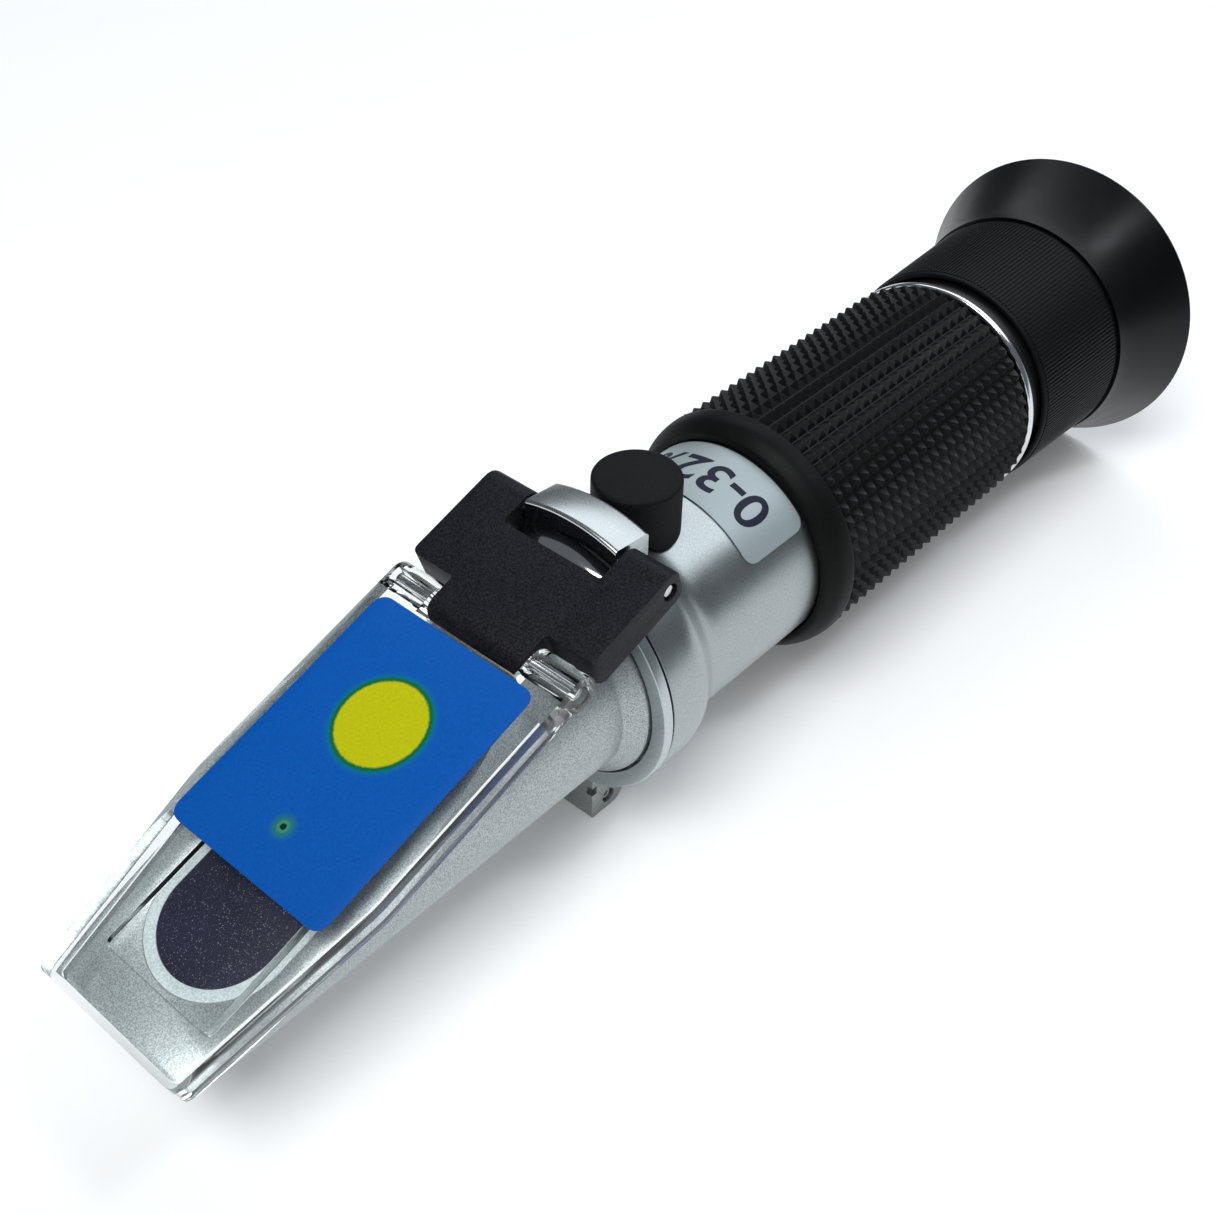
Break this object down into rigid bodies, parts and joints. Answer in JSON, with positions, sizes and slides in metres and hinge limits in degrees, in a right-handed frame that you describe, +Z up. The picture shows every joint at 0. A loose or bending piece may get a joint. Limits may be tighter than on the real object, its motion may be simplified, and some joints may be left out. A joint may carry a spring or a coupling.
{
  "type": "refractometer",
  "caption": "Hand-held refractometer with a hinged clear cover plate over its sloping prism, a capped calibration screw, a knurled grip and a focusing eyepiece.",
  "frame": {"origin": "middle of the bounding box in X and Y, on the surface that the instrument rests on", "axes": "+X along the barrel from the eyecup to the prism tip, +Z up from the lug to the cover plate's hinge"},
  "size_m": [0.1634, 0.0406, 0.0406],
  "materials": {
    "satin_aluminium": "satin anodised silver",
    "polished_steel": "polished",
    "plain_steel": "plain",
    "black_plastic": "matte, finely textured",
    "black_anodised": "black anodised, satin",
    "black_rubber": "matte moulded",
    "clear_acrylic": "clear moulded acrylic, frosted pad",
    "optical_glass": "polished",
    "prism_glass": "dark ground prism face",
    "blue_film": "printed film",
    "silver_film": "printed metallic film",
    "grey_sealant": "cured sealant",
    "bimetal": "rolled strip"
  },
  "bodies": {
    "barrel_body": {"barrel": "satin_aluminium", "barrel_label": "silver_film", "hinge_ring": "satin_aluminium", "clamp_screw": "plain_steel", "prism_housing": "satin_aluminium", "main_prism": "prism_glass", "prism_seal": "grey_sealant", "prism_cradle": "black_anodised", "cradle_screw_rear": "plain_steel", "cradle_screw_front": "plain_steel", "strip_anchor": "plain_steel", "anchor_screw": "plain_steel", "return_spring": "plain_steel", "reticle_cell": "black_anodised", "reticle_scale": "optical_glass", "reticle_retainer": "black_anodised", "grip_sleeve": "black_rubber", "grip_collar": "black_rubber", "end_ring": "polished_steel", "eyepiece_mount": "black_anodised", "focus_o_ring": "black_rubber"},
    "link_body": {"hinge_link": "black_plastic", "link_pin": "polished_steel", "cover_pin": "polished_steel"},
    "cover_body": {"cover_plate": "clear_acrylic", "cover_label": "blue_film"},
    "cap_body": {"calibration_cap": "black_rubber"},
    "screw_body": {"calibration_screw": "plain_steel"},
    "objective_body": {"objective_cell": "black_anodised", "objective_lens": "optical_glass", "objective_retainer": "black_anodised", "bimetal_strip": "bimetal"},
    "eyepiece_body": {"eyepiece_tube": "black_anodised", "eye_lens": "optical_glass", "lens_spacer": "black_anodised", "field_lens": "optical_glass", "lens_retainer": "black_anodised"},
    "focus_body": {"focus_ring": "black_anodised", "eyecup": "black_rubber"}
  },
  "joints": [
    {"name": "link_hinge", "type": "hinge", "parent": "barrel_body", "child": "link_body", "pos_m": [0.02032, 0, 0.03641], "axis": [0, -1, 0], "range_deg": [0, 80]},
    {"name": "cover_hinge", "type": "hinge", "parent": "link_body", "child": "cover_body", "pos_m": [0.03355, 0, 0.03198], "axis": [0, -1, 0], "range_deg": [0, 95]},
    {"name": "cap_lift", "type": "slide", "parent": "barrel_body", "child": "cap_body", "axis": [0, 0, 1], "range_m": [0, 0.01]},
    {"name": "screw_turn", "type": "hinge", "parent": "barrel_body", "child": "screw_body", "pos_m": [0.0111, 0, 0.0365], "axis": [0, 0, 1], "range_deg": [-361, 361]},
    {"name": "objective_shift", "type": "slide", "parent": "barrel_body", "child": "objective_body", "axis": [0, 0, 1], "range_m": [-0.00045, 0.00045]},
    {"name": "eyepiece_travel", "type": "slide", "parent": "barrel_body", "child": "eyepiece_body", "axis": [1, 0, 0], "range_m": [-0.0017, 0.0017]},
    {"name": "focus_turn", "type": "hinge", "parent": "eyepiece_body", "child": "focus_body", "pos_m": [-0.06171, 0, 0.02028], "axis": [1, 0, 0], "range_deg": [-150, 150]}
  ],
  "couplings": [
    {"joint": "eyepiece_travel", "follows": "focus_turn", "m_per_rad": 0.000637},
    {"joint": "screw_turn", "follows": "objective_shift", "rad_per_m": 13960}
  ]
}
